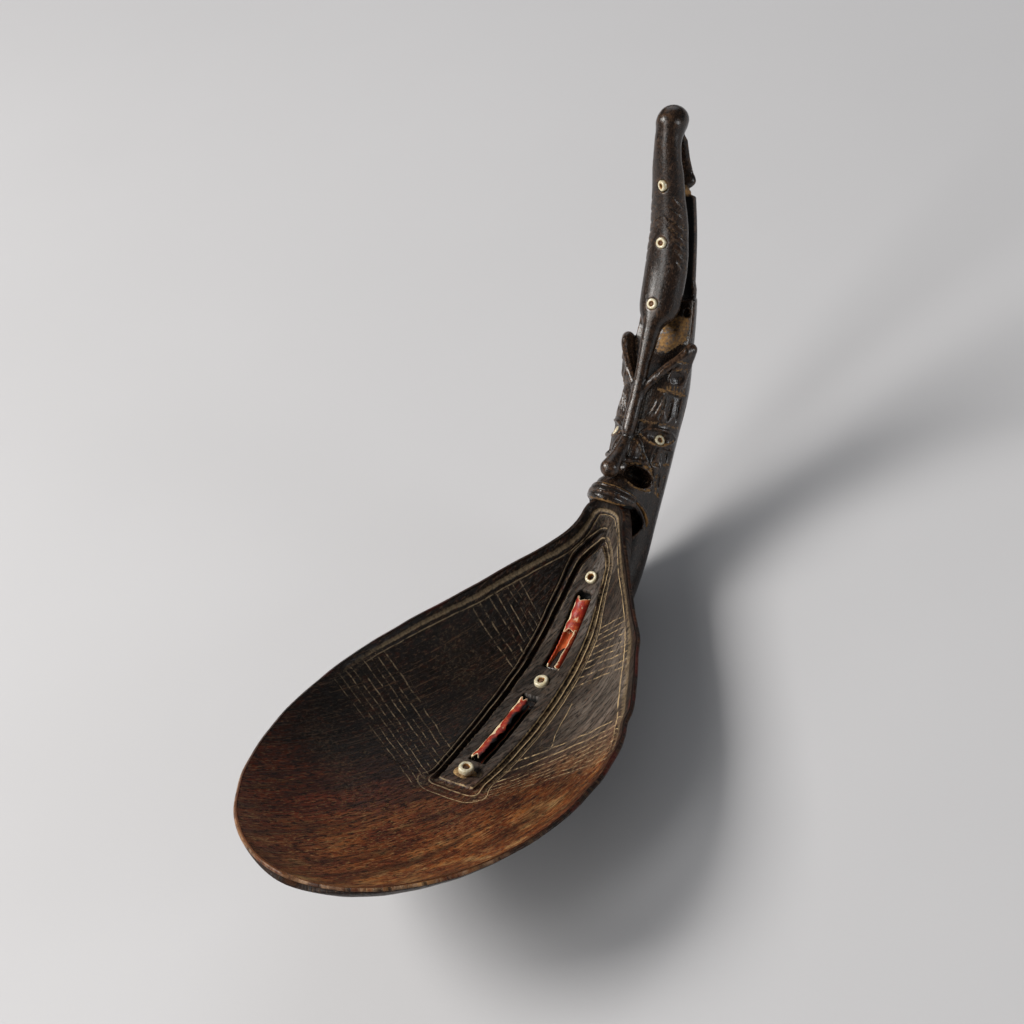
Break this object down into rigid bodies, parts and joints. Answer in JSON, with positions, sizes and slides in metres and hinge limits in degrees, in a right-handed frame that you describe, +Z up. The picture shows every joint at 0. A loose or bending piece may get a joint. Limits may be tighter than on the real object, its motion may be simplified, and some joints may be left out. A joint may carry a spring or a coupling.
{
  "type": "carved spoon",
  "caption": "Broad egg-shaped bowl with an inlaid leaf panel, its neck held in the mouth of a carved figure handle with ears, beads and an open spine; for ladling and serving food",
  "frame": {"origin": "middle of the flat under the handle's tongue, on which the spoon rests", "axes": "+Y runs from the bowl toward the handle, +Z is up out of the bowl's open side, and +X completes the right-handed set across the bowl"},
  "size_m": [0.0956, 0.2379, 0.1218],
  "materials": {
    "bowl_horn": "polished dark red-brown, streaked, reads as horn",
    "handle_horn": "polished near-black, ochre dust in the recesses, reads as horn",
    "bead_glass": "opaque cream glass, glossy",
    "plug_brown": "matt brown",
    "roll_red": "waxy dark red with torn cream edges",
    "bed_putty": "matt tan putty",
    "peg_dark": "matt dark brown"
  },
  "bodies": {
    "root": {"bowl": "bowl_horn", "handle": "handle_horn", "tongue_peg_upper": "peg_dark", "tongue_peg_lower": "peg_dark", "panel_bead_upper": "bead_glass", "panel_bead_middle": "bead_glass", "panel_bead_lower": "bead_glass", "panel_plug_middle": "plug_brown", "panel_plug_lower": "plug_brown", "panel_bed_lower": "bed_putty", "inlay_roll_upper": "roll_red", "inlay_roll_middle": "roll_red", "inlay_roll_lower": "roll_red", "back_bead_upper": "bead_glass", "back_bead_middle": "bead_glass", "back_bead_lower": "bead_glass", "back_plug_middle": "plug_brown", "back_plug_lower": "plug_brown", "eye_bead_left": "bead_glass", "eye_bead_right": "bead_glass", "eye_plug_left": "plug_brown", "eye_plug_right": "plug_brown"}
  },
  "joints": []
}
